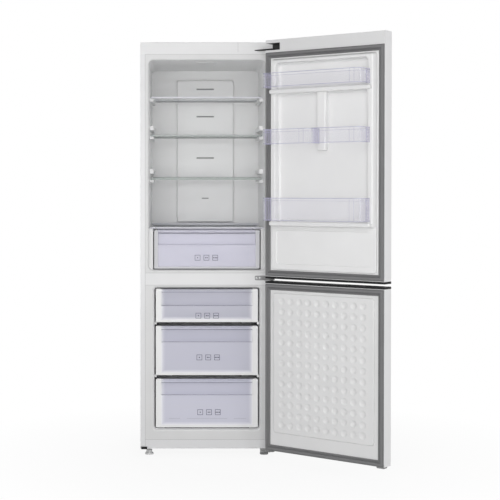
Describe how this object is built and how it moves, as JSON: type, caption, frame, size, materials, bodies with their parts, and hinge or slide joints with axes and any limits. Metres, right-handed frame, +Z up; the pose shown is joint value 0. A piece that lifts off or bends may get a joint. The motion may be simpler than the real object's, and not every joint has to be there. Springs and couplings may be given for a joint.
{
  "type": "bottom freezer refrigerator",
  "caption": "Free-standing refrigerator with the freezer below, both doors hinged right and open, glass shelves, crisper, door bins and freezer drawers.",
  "frame": {"origin": "floor level, under the middle of the plan outline with both doors standing open as at rest; the middle of the case's front plane is at (-231.1, -56.5) mm", "axes": "+X to the right as seen from the front, +Y from the front to the rear, +Z up"},
  "size_m": [1.0571, 1.083, 1.85],
  "materials": {
    "painted_steel": "satin",
    "galvanised_steel": "satin",
    "white_plastic": "satin",
    "liner_plastic": "satin",
    "black_plastic": "matte",
    "clear_plastic": "gloss",
    "shelf_glass": "gloss",
    "gasket_rubber": "matte",
    "mount_rubber": "matte",
    "hinge_grey": "satin",
    "hinge_black": "satin",
    "insulation_foam": "matte",
    "compressor_paint": "gloss",
    "copper_tube": "satin",
    "evaporator_aluminium": "satin",
    "circuit_board": "satin",
    "zinc_screw": "satin",
    "lamp_diffuser": "satin"
  },
  "bodies": {
    "cabinet": {"outer_case": "painted_steel", "rear_panel": "galvanised_steel", "control_board": "circuit_board", "top_front_cap": "white_plastic", "base_plate": "galvanised_steel", "machine_bay_wall": "galvanised_steel", "rear_cover": "galvanised_steel", "cord_gland": "black_plastic", "mullion_rail": "white_plastic", "kick_plate": "painted_steel", "corner_cap": "black_plastic", "cabinet_foam": "insulation_foam", "fridge_liner": "liner_plastic", "freezer_liner": "liner_plastic", "top_hinge": "hinge_black", "middle_hinge": "hinge_grey", "bottom_hinge": "hinge_grey", "hinge_screws": "zinc_screw", "compressor": "compressor_paint", "compressor_mounts": "mount_rubber", "refrigerant_pipes": "copper_tube", "drip_tray": "black_plastic", "duct_cover": "white_plastic", "lamp_cover": "lamp_diffuser", "evaporator_cover": "white_plastic", "evaporator": "evaporator_aluminium", "fan_motor": "black_plastic", "crisper_cover": "shelf_glass"},
    "fridge_door": {"fridge_door_skin": "painted_steel", "fridge_door_top_cap": "white_plastic", "fridge_door_bottom_cap": "black_plastic", "fridge_door_liner": "liner_plastic", "fridge_door_foam": "insulation_foam", "fridge_door_gasket": "gasket_rubber"},
    "freezer_door": {"freezer_door_skin": "painted_steel", "freezer_door_top_cap": "black_plastic", "freezer_door_bottom_cap": "hinge_grey", "freezer_door_liner": "liner_plastic", "freezer_door_foam": "insulation_foam", "freezer_door_gasket": "gasket_rubber"},
    "door_bin_top": {"door_bin_top": "clear_plastic"},
    "door_bin_middle_hinge": {"door_bin_middle_hinge": "clear_plastic"},
    "door_bin_middle_free": {"door_bin_middle_free": "clear_plastic"},
    "door_bin_bottom": {"door_bin_bottom": "clear_plastic"},
    "shelf_top": {"shelf_top": "shelf_glass"},
    "shelf_middle": {"shelf_middle": "shelf_glass"},
    "shelf_bottom": {"shelf_bottom": "shelf_glass"},
    "crisper": {"crisper_box": "clear_plastic", "crisper_frame": "white_plastic"},
    "evaporator_fan": {"evaporator_fan": "white_plastic"},
    "levelling_foot_left": {"levelling_foot_left": "hinge_grey"},
    "levelling_foot_right": {"levelling_foot_right": "hinge_grey"},
    "rear_roller_left": {"rear_roller_left": "black_plastic"},
    "rear_roller_right": {"rear_roller_right": "black_plastic"},
    "freezer_drawer_top": {"freezer_drawer_top_basket": "white_plastic", "freezer_drawer_top_front": "clear_plastic"},
    "freezer_drawer_middle": {"freezer_drawer_middle_basket": "white_plastic", "freezer_drawer_middle_front": "clear_plastic"},
    "freezer_drawer_bottom": {"freezer_drawer_bottom_basket": "white_plastic", "freezer_drawer_bottom_front": "clear_plastic"}
  },
  "joints": [
    {"name": "fridge_door_hinge", "type": "hinge", "parent": "cabinet", "child": "fridge_door", "pos_m": [0.05645, -0.1045, 1.812], "axis": [0, 0, 1], "range_deg": [-142, 8]},
    {"name": "freezer_door_hinge", "type": "hinge", "parent": "cabinet", "child": "freezer_door", "pos_m": [0.05645, -0.1045, 0.795], "axis": [0, 0, 1], "range_deg": [-142, 8]},
    {"name": "shelf_top_slide", "type": "slide", "parent": "cabinet", "child": "shelf_top", "axis": [0, -1, 0], "range_m": [0, 0.15]},
    {"name": "shelf_middle_slide", "type": "slide", "parent": "cabinet", "child": "shelf_middle", "axis": [0, -1, 0], "range_m": [0, 0.15]},
    {"name": "shelf_bottom_slide", "type": "slide", "parent": "cabinet", "child": "shelf_bottom", "axis": [0, -1, 0], "range_m": [0, 0.15]},
    {"name": "crisper_slide", "type": "slide", "parent": "cabinet", "child": "crisper", "axis": [0, -1, 0], "range_m": [0, 0.3]},
    {"name": "freezer_drawer_top_slide", "type": "slide", "parent": "cabinet", "child": "freezer_drawer_top", "axis": [0, -1, 0], "range_m": [0, 0.3]},
    {"name": "freezer_drawer_middle_slide", "type": "slide", "parent": "cabinet", "child": "freezer_drawer_middle", "axis": [0, -1, 0], "range_m": [0, 0.3]},
    {"name": "freezer_drawer_bottom_slide", "type": "slide", "parent": "cabinet", "child": "freezer_drawer_bottom", "axis": [0, -1, 0], "range_m": [0, 0.22]},
    {"name": "door_bin_top_lift", "type": "slide", "parent": "fridge_door", "child": "door_bin_top", "axis": [0, 0, 1], "range_m": [0, 0.03]},
    {"name": "door_bin_middle_hinge_lift", "type": "slide", "parent": "fridge_door", "child": "door_bin_middle_hinge", "axis": [0, 0, 1], "range_m": [0, 0.03]},
    {"name": "door_bin_middle_free_lift", "type": "slide", "parent": "fridge_door", "child": "door_bin_middle_free", "axis": [0, 0, 1], "range_m": [0, 0.03]},
    {"name": "door_bin_bottom_lift", "type": "slide", "parent": "fridge_door", "child": "door_bin_bottom", "axis": [0, 0, 1], "range_m": [0, 0.03]},
    {"name": "evaporator_fan_spin", "type": "hinge", "parent": "cabinet", "child": "evaporator_fan", "pos_m": [-0.23105, 0.3845, 0.64], "axis": [0, 1, 0], "continuous": true},
    {"name": "rear_roller_left_spin", "type": "hinge", "parent": "cabinet", "child": "rear_roller_left", "pos_m": [-0.47105, 0.5035, 0.015], "axis": [1, 0, 0], "continuous": true},
    {"name": "rear_roller_right_spin", "type": "hinge", "parent": "cabinet", "child": "rear_roller_right", "pos_m": [0.00895, 0.5035, 0.015], "axis": [1, 0, 0], "continuous": true},
    {"name": "levelling_foot_left_screw", "type": "slide", "parent": "cabinet", "child": "levelling_foot_left", "axis": [0, 0, -1], "range_m": [0, 0.012]},
    {"name": "levelling_foot_right_screw", "type": "slide", "parent": "cabinet", "child": "levelling_foot_right", "axis": [0, 0, -1], "range_m": [0, 0.012]}
  ]
}
